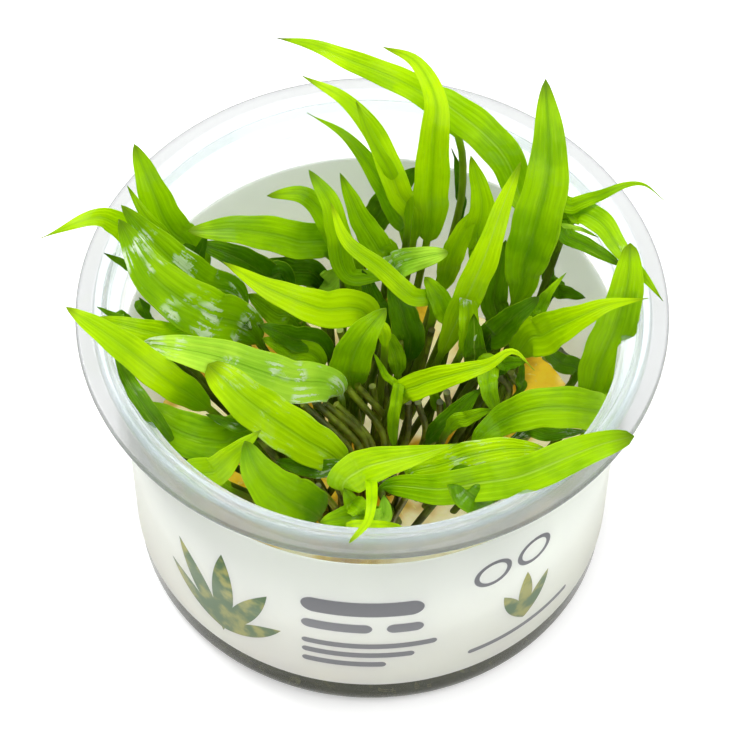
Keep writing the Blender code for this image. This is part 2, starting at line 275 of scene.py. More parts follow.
def cup():
    inner_top = WALL_TOP_RADIUS - WALL_THICKNESS
    inner_base = wall_radius(BASE_CORNER) - WALL_THICKNESS
    floor = quarter(inner_base, WALL_THICKNESS, BASE_CORNER - WALL_THICKNESS)[::-1]
    rim = rounded([
        (inner_top, WALL_TOP_HEIGHT - 1.0),
        (inner_top, WALL_TOP_HEIGHT),
        (SEAT_RADIUS, WALL_TOP_HEIGHT + 0.8),
        (SEAT_RADIUS, RIM_HEIGHT - 0.4),
        (SEAT_RADIUS + 0.5, RIM_HEIGHT),
        (SEAT_RADIUS + 2.0, RIM_HEIGHT),
        (SEAT_RADIUS + 2.6, FLANGE_HEIGHT),
        (RIM_RADIUS - 0.4, FLANGE_HEIGHT),
        (RIM_RADIUS, FLANGE_HEIGHT - 0.4),
        (RIM_RADIUS, FLANGE_HEIGHT - FLANGE_THICKNESS),
        (SEAT_RADIUS + 1.0, FLANGE_HEIGHT - FLANGE_THICKNESS),
        (SEAT_RADIUS + 0.6, WALL_TOP_HEIGHT - 0.6),
        (WALL_TOP_RADIUS, WALL_TOP_HEIGHT - 1.2),
        (wall_radius(WALL_TOP_HEIGHT - 4.0), WALL_TOP_HEIGHT - 4.0),
    ])
    outside = quarter(wall_radius(BASE_CORNER), 0.0, BASE_CORNER) + [(0.0, 0.0)]
    mesh = turned_mesh("cup_clear", [(0.0, WALL_THICKNESS)] + floor + rim + outside)
    return add_piece("cup_clear", mesh, clear_plastic(), "cup")


cup()

# Gel
# The growing gel, poured warm into the tub, fills its bottom. It is amber, wet on top, a little lumpy
# round the stalks and clouded with roots. Its olive lower down is painted shade, its cream patches
# are a painted highlight, and it has a painted glow.
GEL_HEIGHT = 10.0
GEL_LUMP = 0.9
GEL_BITE = 0.15
GEL_RINGS = 30
GEL_GLOW = 0.40
AMBER = ((0.42, 0.22, 0.005), (0.86, 0.58, 0.02))
SHEEN_CREAM = (0.95, 0.86, 0.50)
SHADED_OLIVE = ((0.035, 0.040, 0.012), (0.08, 0.085, 0.02))
ROOT_GREEN = (0.60, 0.60, 0.16)
BLACK = (0.0, 0.0, 0.0)


def amber_gel():
    """Clouded gel: amber with cream patches of painted highlight, green where roots fill it, painted olive
    shade lower down and a painted glow.
    """
    made, finish = new_finish("amber_gel")
    place = finish.place()
    cloud = finish.noise(place, 110.0, 5.0)
    patch = finish.noise(place, 55.0, 3.0)
    roots = finish.noise(place, 420.0, 3.0, 1.5).ramp(0.58, 0.68)
    height, = finish.axes(place, "Z")
    # Painted shade: the gel turns dark olive lower down its top and on its sides.
    low_shade = 1.0 - (height * PER_METRE).ramp(6.5, 9.0)
    # Cream patches are a painted highlight: light off the gel's wet top.
    cream = patch.ramp(0.48, 0.60).blend(cloud.ramp(0.38, 0.62).blend(*AMBER), SHEEN_CREAM)
    olive = cloud.ramp(0.35, 0.7).blend(*SHADED_OLIVE)
    finish.surface(finish.skin(
        Base_Color=(roots * 0.6).blend(low_shade.blend(cream, olive), ROOT_GREEN),
        Roughness=0.10 + 0.2 * roots,
        Normal=finish.bump(cloud, 0.5, 0.002),
        IOR=1.34,
        Transmission_Weight=0.15,
        # Painted glow: the gel gives off its own cream and amber light, though it is no lamp.
        Emission_Color=low_shade.blend(cream, BLACK),
        Emission_Strength=GEL_GLOW,
    ))
    return made


def gel():
    side = wall_radius(BASE_CORNER) - WALL_THICKNESS + GEL_BITE
    top_side = wall_radius(GEL_HEIGHT) - WALL_THICKNESS + GEL_BITE
    outline = [(top_side * ring / GEL_RINGS, GEL_HEIGHT) for ring in range(GEL_RINGS + 1)]
    outline += quarter(side, WALL_THICKNESS - GEL_BITE, BASE_CORNER - WALL_THICKNESS)
    outline += [(0.0, WALL_THICKNESS - GEL_BITE)]
    mesh = turned_mesh("gel_bed", outline)
    for vertex in mesh.vertices:
        if vertex.co.z > (GEL_HEIGHT - 0.01) * MM:
            x, y = vertex.co.x / MM, vertex.co.y / MM
            wave = math.sin(0.31 * x + 0.7) * math.cos(0.27 * y - 0.4) + math.sin(0.17 * (x + y))
            lump = 0.25 * (1 + noise.noise(Vector((x, y, 0.0)) * 0.35))
            vertex.co.z -= (GEL_LUMP * (0.5 + 0.25 * wave) + lump) * MM
    return add_piece("gel_bed", mesh, amber_gel(), "gel")


gel()

# Label
# A band of white printed film, wrapped round the outside of the wall between
# the rim and the base. Its marks are plain bars, rings and a sprig of leaves.
LABEL_LOW = 7.3
LABEL_HIGH = 46.7
LABEL_THICKNESS = 0.4
LABEL_BITE = 0.06
LABEL_RADIUS = 43.0
INK_SOFTNESS = 0.08
FILM_WHITE = ((0.88, 0.88, 0.89), (0.83, 0.83, 0.84))
FILM_GLOW = (0.97, 1.0, 0.90, 1.0)
FILM_THROUGH = 0.52
INK_GREY = (0.030, 0.033, 0.040)
INK_LEAF = ((0.030, 0.085, 0.010), (0.22, 0.22, 0.03))
# Left and right ends, round the wall from the middle of the front, and low and high sides
BARS = (
    (-12.0, 9.5, 30.0, 34.6),
    (-12.0, 0.5, 24.6, 27.4),
    (3.0, 9.5, 24.6, 27.4),
    (-12.0, 12.0, 19.4, 21.0),
    (-12.0, 8.0, 16.4, 18.0),
    (-12.0, 3.0, 13.4, 15.0),
    (18.0, 41.0, 12.0, 13.2),
)
# Place round the wall, height, radius and half of the line's width of each ring
RINGS = (
    (22.0, 36.0, 3.2, 0.5),
    (30.6, 36.0, 3.2, 0.5),
)
# Place round the wall, height, length, half width and lean in degrees of each printed leaf
SPRIGS = (
    (-28.0, 11.0, 26.0, 2.4, 2.0),
    (-28.0, 12.0, 22.0, 2.2, -26.0),
    (-28.0, 12.0, 21.0, 2.1, 28.0),
    (-28.0, 12.0, 16.0, 1.8, -52.0),
    (-28.0, 12.0, 15.0, 1.8, 55.0),
    (29.5, 15.0, 12.0, 1.5, -24.0),
    (29.5, 15.0, 12.0, 1.5, 26.0),
    (29.5, 15.0, 15.0, 1.6, 0.0),
)


def white_film():
    """White film that lets light through, except where ink lies on it."""
    made, finish = new_finish("white_film")
    place = finish.place()
    x, y, z = finish.axes(place, "XYZ")
    across = finish.maths("ARCTAN2", x, -y) * LABEL_RADIUS
    height = z * PER_METRE

    def bar(left, right, low, high):
        """Ink inside a bar with rounded ends."""
        middle, radius = (low + high) / 2, (high - low) / 2
        reach = (right - left) / 2 - radius
        along = (abs(across - (left + right) / 2) - reach).larger(0.0)
        away = (along * along + (height - middle) * (height - middle)) ** 0.5
        return 1.0 - away.ramp(radius - INK_SOFTNESS, radius + INK_SOFTNESS)

    def ring(centre, level, radius, line):
        """Ink along a circle."""
        dx, dz = across - centre, height - level
        away = abs((dx * dx + dz * dz) ** 0.5 - radius)
        return 1.0 - away.ramp(line - INK_SOFTNESS, line + INK_SOFTNESS)

    def printed_leaf(centre, level, length, wide, lean):
        """Ink inside a leaf shape that starts at a point and leans by some degrees."""
        c, s = math.cos(math.radians(lean)), math.sin(math.radians(lean))
        dx, dz = across - centre, height - level
        up, out = dz * c + dx * s, dx * c - dz * s
        share = up * (1.0 / length)
        reach = share * (1.0 - share) * (4.0 * wide)
        return (reach - abs(out)).ramp(0.0, 0.12) * share.ramp(0.0, 0.02)

    grey = reduce(Strand.larger, [bar(*sizes) for sizes in BARS] + [ring(*sizes) for sizes in RINGS])
    green = reduce(Strand.larger, [printed_leaf(*sizes) for sizes in SPRIGS])
    paper = finish.noise(place, 35.0, 3.0)
    mottle = finish.noise(place, 260.0, 3.0)
    leafy = mottle.ramp(0.40, 0.62).blend(*INK_LEAF)
    printed = green.blend((grey * 0.9).blend(paper.blend(*FILM_WHITE), INK_GREY), leafy)
    film = finish.skin(
        Base_Color=printed,
        Roughness=0.34 + 0.1 * paper,
        Normal=finish.bump(paper, 0.1, 0.001),
    )
    through = finish.node("ShaderNodeBsdfTranslucent", None, {"Color": FILM_GLOW})
    bare = FILM_THROUGH * (1.0 - green.larger(grey))
    finish.surface(finish.node("ShaderNodeMixShader", None, {0: bare, 1: film, 2: through}))
    return made


def label():
    low, high = wall_radius(LABEL_LOW) - LABEL_BITE, wall_radius(LABEL_HIGH) - LABEL_BITE
    outline = [(low, LABEL_LOW), (high, LABEL_HIGH), (high + LABEL_THICKNESS, LABEL_HIGH),
               (low + LABEL_THICKNESS, LABEL_LOW)]
    mesh = turned_mesh("label_film", outline, closed=True)
    return add_piece("label_film", mesh, white_film(), "label")


label()

# Leaves
# Each leaf grows as one piece from the crown in the gel: a thin olive stalk that
# widens into a lance-shaped blade with a fold at its midrib and a wavy edge.
ROOT_HEIGHT = 8.8
WALL_GAP = 0.4
STALK_RADIUS = 0.65
STALK_RINGS = 16
BLADE_RINGS = 46
COLUMNS = 14
PATH_STEPS = 24
WIDEST_AT = 0.42
ROUNDNESS = 1.25
FOLD = 0.2
FACING = Vector((0.0, -0.58, 0.815))
# Half the thickness of a leaf at some shares of its blade's length
HALF_THICKNESS = ((0.0, STALK_RADIUS * 0.9), (0.10, 0.42), (0.28, 0.26), (1.0, 0.12))
# Young and deep green of each class of blade: bright, middle and shaded are painted lit,
# half-lit and shaded copies of one green, and pale is the bright green a little whiter
LIT_AND_SHADED_GREENS = {
    "bright": ((0.58, 0.86, 0.0), (0.26, 0.52, 0.0)),
    "middle": ((0.42, 0.72, 0.0), (0.13, 0.33, 0.0)),
    "shaded": ((0.16, 0.38, 0.0), (0.03, 0.12, 0.0)),
    "pale": ((0.55, 0.85, 0.06), (0.24, 0.54, 0.02)),
}
RIB_GREEN = (0.55, 0.80, 0.08)
EDGE_LIT_GREEN = (0.55, 0.80, 0.02)
TIP_BROWN = (0.035, 0.05, 0.003)
GLINT_WHITE = (0.86, 0.96, 0.72)
GLEAM_GREEN = (0.62, 0.88, 0.06)
STALK_OLIVE = ((0.050, 0.060, 0.006), (0.17, 0.23, 0.015))
THROUGH_LEAF = 0.3


def leaf_green(shade):
    """Green of a live blade: patches, faint veins, a dark tip and an olive stalk, with painted shade towards
    its base and in its midrib fold, a margin lit by painted light, painted gleam streaks and painted white
    glints on wet spots.
    """
    young, deep = LIT_AND_SHADED_GREENS[shade]
    made, finish = new_finish(shade + "_leaf")
    place = finish.place()
    across, along = finish.axes(finish.node("ShaderNodeUVMap", {"uv_map": "blade"}), "XY")
    looks = finish.node("ShaderNodeAttribute", {"attribute_name": "looks"}, out="Color")
    wet = finish.node("ShaderNodeAttribute", {"attribute_name": "looks"}, out="Alpha")
    tone, tip, rib = (finish.node("ShaderNodeSeparateColor", None, {"Color": looks}, out=part)
                      for part in ("Red", "Green", "Blue"))
    side = abs(across - 0.5) * 2.0
    stretched = finish.node("ShaderNodeCombineXYZ", None, {"X": across * 5.0, "Y": along * 1.4})
    drawn = finish.node("ShaderNodeCombineXYZ", None, {"X": across * 3.0, "Y": along * 2.2, "Z": tone * 9.0})
    fibres = finish.noise(stretched, 4.0, 4.0)
    streaks = finish.noise(drawn, 3.2, 5.0, 0.4)
    patch = finish.noise(place, 95.0, 5.0)
    pools = finish.noise(place, 150.0, 2.0)
    flecks = finish.noise(place, 1100.0, 3.0, 1.2)
    veins = (side * 20.0 + fibres * 3.0).sine() * 0.5 + 0.5
    # Painted shade: the blade darkens towards its base, down among the other leaves.
    base_shade = 1.0 - along.ramp(0.0, 0.45)
    spread = patch.ramp(0.42, 0.62) * 0.5 + fibres.ramp(0.3, 0.7) * 0.3 + base_shade * 0.4
    green = (spread - (tone - 0.45) * 0.8).smaller(1.0).blend(young, deep)
    green = (veins.ramp(0.75, 1.0) * 0.15).blend(green, deep)
    midrib = 1.0 - side.ramp(0.02, 0.09)
    green = (midrib * rib * 0.7).blend(green, RIB_GREEN)
    # Painted shade in the midrib fold, on blades whose rib is not pale.
    green = ((1.0 - side.ramp(0.03, 0.32)) * (1.0 - rib) * 0.6).blend(green, deep)
    # The margin is yellower and lighter: partly its own colour, partly painted light shining through the thin
    # edge.
    green = (side.ramp(0.90, 1.0) * 0.35).blend(green, EDGE_LIT_GREEN)
    green = (along.ramp(0.90, 1.0) * tip).blend(green, TIP_BROWN)
    shine = (streaks * 0.75 + flecks * 0.25 + pools * 0.25 + wet * 0.10).ramp(0.72, 0.78)
    wet_glint_spots = shine * pools.ramp(0.46, 0.58) * wet.ramp(0.35, 0.9)
    # Painted highlight: white glints painted on the wet spots, which also get less roughness and a bump.
    green = (wet_glint_spots * 0.9).blend(green, GLINT_WHITE)
    gleam = (0.5 * streaks + 0.5 * fibres).ramp(0.55, 0.68)
    green = (gleam * 0.35).blend(green, GLEAM_GREEN)
    stalk = 1.0 - along.ramp(-0.12, 0.08)
    green = stalk.blend(green, patch.ramp(0.35, 0.65).blend(*STALK_OLIVE))
    height = veins * 0.28 + midrib * -1.2 + fibres * 0.4 + patch * 0.5 + wet_glint_spots * 0.8
    blade = finish.skin(
        Base_Color=green,
        Roughness=0.42 - 0.3 * wet_glint_spots,
        Normal=finish.bump(height, 0.45, 0.0006),
        Specular_IOR_Level=0.05,
        Coat_Weight=0.06 + wet * 0.75 * pools.ramp(0.5, 0.6),
        Coat_Roughness=0.07,
    )
    through = finish.node("ShaderNodeBsdfTranslucent", None, {"Color": (*young, 1.0)})
    finish.surface(finish.node("ShaderNodeMixShader", None, {0: THROUGH_LEAF, 1: blade, 2: through}))
    return made


GREENS = {shade: leaf_green(shade) for shade in LIT_AND_SHADED_GREENS}


def smooth_path(points, steps=PATH_STEPS):
    """Catmull-Rom curve through the points, as a list of points."""
    ends = [points[0] * 2 - points[1]] + points + [points[-1] * 2 - points[-2]]
    path = []
    for a, b, c, d in zip(ends, ends[1:], ends[2:], ends[3:]):
        for step in range(steps):
            t = step / steps
            bend = 2 * a - 5 * b + 4 * c - d
            twist = 3 * b - a - 3 * c + d
            path.append(0.5 * (2 * b + (c - a) * t + bend * t * t + twist * t ** 3))
    path.append(points[-1])
    return path


def even_points(path, spans):
    """Points that cut a path into this many spans of equal length."""
    lengths = [0.0]
    for a, b in zip(path, path[1:]):
        lengths.append(lengths[-1] + (b - a).length)
    even, span = [], 0
    for index in range(spans + 1):
        goal = lengths[-1] * index / spans
        while span < len(path) - 2 and lengths[span + 1] < goal:
            span += 1
        share = (goal - lengths[span]) / (lengths[span + 1] - lengths[span])
        even.append(path[span].lerp(path[span + 1], share))
    return even


def blade_share(s, belly, full):
    """Width of a lance-shaped blade at s from 0 at its base to 1 at its tip."""
    rise = (s / belly) ** (full * belly)
    fall = ((1 - s) / (1 - belly)) ** (full * (1 - belly))
    return rise * fall


def half_thickness(s):
    """Half the thickness of a leaf at s along its blade."""
    for (s0, t0), (s1, t1) in zip(HALF_THICKNESS, HALF_THICKNESS[1:]):
        if s <= s1:
            return t0 + (t1 - t0) * (s - s0) / (s1 - s0)
    return HALF_THICKNESS[-1][1]


def inside_wall(point):
    """The point, moved in where it would touch the cup's wall or its lid seat."""
    limit = wall_radius(point.z) - WALL_THICKNESS - WALL_GAP
    limit += max(0.0, point.z - WALL_TOP_HEIGHT + 2.0) * 0.9
    if point.z < WALL_TOP_HEIGHT + 5.0 and point.xy.length > limit:
        point.xy *= limit / point.xy.length
    return point


def leaf(name, root, stalk, blade, width, shade="middle", turned=0.0,
         belly=WIDEST_AT, full=ROUNDNESS, wavy=0.35, waves=3.0, fold=FOLD,
         tone=0.5, tip=0.6, rib=0.3, wet=0.3, node=True):
    """One leaf: a stalk from the root to its last stalk point, then a blade to its tip."""
    points = [Vector((*root, ROOT_HEIGHT))] + [Vector(point) for point in stalk + blade]
    path = smooth_path(points)
    neck = PATH_STEPS * len(stalk)
    line = even_points(path[: neck + 1], STALK_RINGS)
    line += even_points(path[neck:], BLADE_RINGS)[1:]
    turn_angle = math.radians(turned)
    seed = sum(ord(letter) * (place + 1) for place, letter in enumerate(name)) % 97
    vertices, flat = [], []
    for index, centre in enumerate(line):
        s = max(0, index - STALK_RINGS) / BLADE_RINGS
        reach = s if index > STALK_RINGS else index / STALK_RINGS - 1
        before, after = line[max(index - 1, 0)], line[min(index + 1, len(line) - 1)]
        along = (after - before).normalized()
        across = along.cross(FACING).normalized()
        outward = across.cross(along)
        side = across * math.cos(turn_angle) + outward * math.sin(turn_angle)
        face = outward * math.cos(turn_angle) - across * math.sin(turn_angle)
        share = blade_share(s, belly, full)
        half_width = max(STALK_RADIUS * (1 - 0.9 * s), share * width / 2)
        thick = half_thickness(s)
        for step in range(2 * COLUMNS):
            angle = math.pi * step / COLUMNS
            w = -math.cos(angle)
            phase = seed * 0.7 + (1.9 if w > 0 else 0.0)
            ruffle = wavy * math.sin(2 * math.pi * waves * s + phase) * abs(w) ** 2.2 * share
            lift = fold * share * width / 2 * (math.sqrt(w * w + 0.01) - 0.1) + ruffle
            pinch = 1 + 0.03 * math.sin(2 * math.pi * waves * 1.6 * s + phase)
            middle = inside_wall(centre + side * (w * half_width * pinch) + face * lift)
            vertices.append((middle + face * (math.sin(angle) * thick)) * MM)
            flat.append((0.5 + 0.5 * w, reach))
    around = 2 * COLUMNS
    faces = []
    for ring in range(len(line) - 1):
        for edge in range(around):
            here, there = around * ring + edge, around * ring + (edge + 1) % around
            faces.append((here, there, there + around, here + around))
    end = around * (len(line) - 1)
    faces += [tuple(range(around))[::-1], tuple(end + edge for edge in range(around))]
    mesh = bpy.data.meshes.new(name + "_grown")
    mesh.from_pydata(vertices, [], faces)
    mesh.validate()
    layer = mesh.uv_layers.new(name="blade")
    for loop in mesh.loops:
        layer.data[loop.index].uv = flat[loop.vertex_index]
    looks = mesh.attributes.new("looks", "FLOAT_COLOR", "POINT")
    for point in looks.data:
        point.color = (tone, tip, rib, wet)
    return add_piece(name + "_grown", mesh, GREENS[shade], name if node else None)


# Back of the cup
leaf("leaf_arch_left", (6, 19), [(14, 31, 40.5), (15.5, 34.5, 51.5), (14.5, 36.5, 61)],
     [(10.7, 37.9, 68), (4.4, 39.7, 72), (-3.4, 42.9, 73), (-10.6, 47.4, 72.0), (-16.9, 50.5, 70.0)], 4.7,
     "bright", wavy=0.5, tip=1.0, belly=0.33, full=1.5, tone=0.25)
leaf("leaf_arch_right", (14, 13), [(25.5, 22.5, 51.5)],
     [(24.7, 25.6, 60), (22.4, 27.9, 66), (18.4, 31.1, 69), (13.3, 35.3, 70), (8.7, 40.2, 69)], 6.4,
     rib=0.7, belly=0.6, full=1.0)
leaf("leaf_back_tall", (3, 14), [(9.4, 28.3, 42)],
     [(9.9, 27.8, 57), (10.2, 28.5, 70), (10.4, 31.6, 77), (7, 37.8, 79.5), (1.4, 40.6, 80)], 6.2, "bright",
     rib=0.0, belly=0.3, full=1.15, tone=0.8)
leaf("leaf_back_2", (0.5, 15.5), [(7, 28, 42.5)],
     [(4.2, 26.9, 58), (0.3, 32.4, 66.0), (-5.0, 37.0, 70.0), (-12.4, 42.2, 70.0)], 4.5, "bright", belly=0.35,
     full=1.3)
leaf("leaf_back_3", (0.5, 12), [(6, 26, 48.5)], [(3.5, 27.6, 60), (-0.5, 29.6, 69), (-3.1, 32.8, 75)], 2.4)
leaf("leaf_back_4", (-2, 18), [(5.8, 31.7, 36)],
     [(4.5, 31.1, 46), (0.9, 29.5, 58), (-4.6, 32.1, 66), (-11.5, 37.3, 66)], 4.8, belly=0.28, full=1.7)
leaf("leaf_back_low", (-2.5, 24), [(-1.5, 35.5, 30.5)],
     [(0.1, 38.2, 34), (3.6, 37.2, 44), (7.7, 38, 50)], 5.2, "shaded", full=1.0)
leaf("leaf_mid_back", (6.5, 14), [(17.5, 24.5, 40.5)],
     [(17.9, 23.5, 50), (18.6, 22.8, 60), (16.4, 23.6, 72)], 4.7, "bright", belly=0.4, full=1.2)
leaf("leaf_mid_low", (5.5, 13), [(12.1, 21.9, 36)],
     [(13.5, 21.8, 45), (15.3, 22.7, 51), (17.6, 24.3, 56)], 4.1, "bright", belly=0.45, full=0.9)
leaf("leaf_mid_tall", (6, 12), [(12, 8.5, 35.5)],
     [(15.5, 8.5, 50), (18.7, 6.6, 66), (21.4, 8.8, 77), (24.4, 13.1, 84)], 5.3, "bright", turned=-15.0,
     rib=0.9)

# Right side
leaf("leaf_right_tall", (11.5, 8), [(24.5, 14.5, 42)],
     [(25.9, 15, 52), (27.5, 13.6, 66), (29.2, 15.6, 80.0), (28.4, 24.3, 92.0)], 8.3, rib=0.1, belly=0.45)
leaf("leaf_right_high", (16.5, 9.5), [(29.5, 22.5, 53.5)],
     [(34.3, 20.2, 63), (38.7, 19.4, 67), (42.5, 19.6, 69.5), (45.8, 18.9, 70.5), (49.0, 16.9, 69.0)], 3.1,
     belly=0.2, full=1.6)
leaf("leaf_right_dark", (18.5, 6), [(29.7, 23.8, 50)],
     [(33.5, 16.2, 59), (37.9, 10.3, 63.3), (41.7, 7, 63.8)], 2.9, "shaded", belly=0.5, full=0.9, tone=0.7)
leaf("leaf_right_arch", (21, 8.5), [(33, 21.5, 55)],
     [(35.2, 20.1, 61), (38.7, 14, 66), (41.8, 6.6, 68), (45.6, 1.8, 67.2), (48.6, -1.3, 65)], 4.3,
     belly=0.33, full=1.4)
leaf("leaf_right_hang", (24, -3.5), [(36.1, -4.4, 38)],
     [(38.6, -2.5, 48.0), (41.1, -1.7, 58.5), (42.7, 1.1, 67.5), (43.0, 5.9, 71.5)], 7.2,
     belly=0.48, full=0.95)
leaf("leaf_right_front", (16, -2), [(25.2, 5.9, 39)],
     [(29.4, 2.5, 50), (34.4, -1.4, 60), (39.4, -2.6, 65.5), (46, -2.6, 67.5)], 7.1, "bright", belly=0.26,
     full=1.5)
leaf("leaf_right_mid", (14, 2), [(19.5, 9, 36)],
     [(21.4, 5.5, 46), (24.2, 3.3, 54), (28.2, 4.4, 58)], 5.2, "shaded", full=1.0)
leaf("leaf_right_fold", (14, 5), [(27, 10, 42)],
     [(28.6, 6.9, 52), (30.1, 4.8, 59.5), (32.6, 6.2, 62.5)], 2.7, belly=0.35)

# Centre
leaf("leaf_centre_curl", (3.5, 0), [(4.7, -3.5, 38)],
     [(8.2, -5.9, 46.5), (14, -8.9, 54), (19.3, -10.5, 59), (23.5, -9.8, 62), (27.2, -10.8, 58)], 4.7,
     "bright", tone=1.0, belly=0.26, full=1.8)
leaf("leaf_centre_drop", (8, 2), [(18.9, 2.4, 40)],
     [(19.8, -3.4, 44), (20.4, -5.7, 42.5), (22.2, -6.2, 37)], 3.7, belly=0.3)
leaf("leaf_fan_1", (-3.5, 10), [(4.5, 16, 44)],
     [(-4.1, 14.6, 50), (-6, 16.3, 60), (-7.4, 18.9, 65), (-11, 23, 68.5)], 4.2, belly=0.6, full=1.8)
leaf("leaf_fan_2", (-2, 12), [(2.5, 23.5, 39.5)],
     [(0.9, 22, 48), (-2.1, 21.2, 57.0), (-3.8, 22.1, 62.0), (-5.7, 23.9, 66.5)], 4.8, belly=0.35, full=1.1)
leaf("leaf_fan_3", (-5, 10.5), [(-3, 20, 35)],
     [(-4.6, 19.7, 48), (-7.7, 20.3, 58), (-12.0, 20.7, 64.5), (-18.1, 21.6, 63.0)], 4.8, full=1.1)
leaf("leaf_fan_4", (2.5, 7.5), [(10.5, 12, 42.5)],
     [(6.4, 9, 52), (0.9, 10.6, 58), (-4.4, 12.1, 63), (-7.2, 17.5, 66.5)], 3.3, "bright", full=1.2)
leaf("leaf_centre_pale", (2.5, 10), [(4, 21, 39.5)],
     [(4.3, 17.4, 49), (8.1, 15.4, 54), (12.9, 16.7, 54)], 5.2, "pale", wavy=1.0, waves=2.5, full=0.9,
     wet=0.9)
leaf("leaf_centre_short", (8.5, 4), [(13.5, 11.5, 39)],
     [(12.6, 9.9, 46), (10.9, 10.9, 50), (8.9, 12.1, 53)], 4.2, full=1.0, belly=0.45)
leaf("leaf_centre_rib", (10, 6), [(17, 6, 34)], [(17.5, 4.4, 44), (17.3, 5.8, 51)], 4, "shaded", rib=1.0)
leaf("leaf_centre_dark", (1, 6), [(6.4, 9.4, 33)],
     [(5.6, 11.4, 41.5), (3.2, 15.6, 47)], 5.4, "shaded", full=1.0)
leaf("leaf_centre_tongue", (0, 2.5), [(4.3, -2.7, 41)],
     [(4.2, -6.3, 42), (3.7, -8, 38.5), (3.9, -8.7, 32)], 2.1, full=0.8)
leaf("leaf_centre_broad", (-2, 3), [(-3.5, 2.5, 33.5)],
     [(-3.7, -0.3, 44), (-1.7, -0.1, 52), (2.3, 1.8, 58)], 7, full=1.1)

# Front
leaf("leaf_front_dark", (6, -1), [(10, -6, 30)], [(13.8, -5.3, 36), (18.5, -2.4, 40.5)], 3.8, "shaded")
leaf("leaf_front_right_high", (9.5, -5.5), [(17.5, -15, 42)],
     [(21.7, -13.8, 47), (26.6, -14.4, 51.5), (32, -14.4, 52.5), (36.8, -13.2, 50), (40.2, -11.3, 46.5)], 7,
     belly=0.68, full=0.85)
leaf("leaf_front_right_low", (14.5, -6.5), [(25, -8, 34.5)],
     [(30.4, -12, 41), (36.3, -12.7, 43)], 2.7, "shaded", wet=0.7)
leaf("leaf_front_long", (5, -9), [(2, -24, 42)],
     [(11.5, -32.3, 54), (18, -34, 58.5), (24.5, -35, 62), (31.8, -33.4, 65), (37.8, -30.9, 65.5),
      (43.2, -28.9, 65)], 6.3, rib=0.8, belly=0.6, full=1.15)
leaf("leaf_front_right_mid", (9, -4), [(6.5, -24, 46)],
     [(11.5, -26.1, 52), (17.2, -27.4, 57), (23, -27.2, 58.5), (29.1, -27, 58)], 5.1, "bright", belly=0.45,
     full=1.1, wet=0.6)
leaf("leaf_front_curl", (6.5, -11.5), [(14, -28.5, 51)],
     [(15.9, -35, 57), (18, -35.9, 56), (20.2, -33.7, 51)], 5.4, "shaded", full=0.8, belly=0.5, wavy=0.7)
leaf("leaf_front_high", (-0.5, -8.5), [(-4.6, -29.5, 50)],
     [(-1.5, -30.5, 57), (2.8, -31.9, 61.5), (8.1, -31.8, 63.5), (14.7, -28.5, 62)], 6.4, "bright",
     belly=0.29, full=1.8, rib=1.0, tone=0.3)
leaf("leaf_front_tongue", (0, -10.5), [(0, -29, 51)],
     [(0.2, -39.6, 61.5), (-0.5, -45.6, 64), (-3.4, -49.1, 63)], 2, "bright", full=0.7, belly=0.35)
leaf("leaf_front_lip", (3.5, -11), [(1.5, -31.5, 43.5)],
     [(-2.4, -33.6, 48), (-8.4, -35.6, 48.5)], 4.2, full=1.0)
leaf("leaf_front_side", (-8, -4), [(-5, -18, 38.5)],
     [(-10, -19.6, 41), (-16, -20.1, 44)], 3.2, "shaded", wet=0.6, full=0.9)
leaf("leaf_front_left", (-6.5, -11), [(-9, -27.5, 38.5)],
     [(-14.4, -30.1, 48), (-18.4, -29.9, 54.5), (-20.9, -25.7, 58)], 9.0, belly=0.35, full=1.0, tone=0.25)

# Left side
leaf("leaf_left_back", (-8.5, 9), [(-28.6, 17.7, 47.5)],
     [(-34.5, 16, 61), (-37.1, 16.1, 71), (-40.1, 19.6, 79.5)], 6.6, full=1.15)
leaf("leaf_left_back_low", (-14.5, 8.5), [(-33, 16, 48)],
     [(-35.6, 13.6, 62), (-38.4, 13.1, 68.5), (-41.3, 15, 74)], 2.6)
leaf("leaf_left_wet", (-11.5, 4.5), [(-22, 13, 42)],
     [(-28.6, 9.2, 54), (-35.4, 8.7, 64.5), (-42.2, 11.3, 73.5)], 7, wet=0.8, tone=0.3)
leaf("leaf_left_broad", (-8, 2.5), [(-19.5, 6.5, 41.5)],
     [(-28.1, 0.6, 57.5), (-36.4, 1.4, 66.5), (-42.6, 9.5, 72)], 9.2, full=1.2, wet=1.0, tone=0.35)
leaf("leaf_left_out", (-15.5, 3.5), [(-34.5, 17, 50)],
     [(-39.5, 13.4, 61), (-43.4, 13.2, 66.0), (-47.2, 11.2, 70.0), (-55.4, 5.4, 72.0)], 5.2, "bright",
     belly=0.33, full=1.9)
leaf("leaf_left_mid", (-10, 0), [(-26, 5, 42)],
     [(-32.8, -2.7, 55), (-40.1, -6.3, 63), (-46.4, -5.9, 65)], 5, "bright", full=1.1)
leaf("leaf_left_long", (-11.5, -3), [(-27.7, -10.7, 46)],
     [(-34.1, -12.8, 57), (-42.9, -10.9, 66.0), (-51.0, -5.2, 67.0)], 5.8, "bright", full=1.2)
leaf("leaf_left_pale", (-6.5, 1), [(-5.5, -2.5, 39)],
     [(-14.6, -9, 52), (-26.1, -11.5, 62), (-38.3, -7.9, 61)], 7.4, "pale", full=0.9, wet=1.0, tone=0.7)
leaf("leaf_left_fold", (-3, -1.5), [(-5.3, -15.4, 37)],
     [(-12, -17.9, 48), (-20.6, -16.9, 57), (-27.3, -13, 62)], 8, "bright", belly=0.5, full=0.75, wet=0.5)
leaf("leaf_left_low", (-10.5, -6.5), [(-20, -14, 40.5)],
     [(-25.5, -20.4, 50.0), (-31.8, -20.6, 53.0), (-38.9, -14.4, 52.0)], 8.4, full=0.95, tone=0.1)
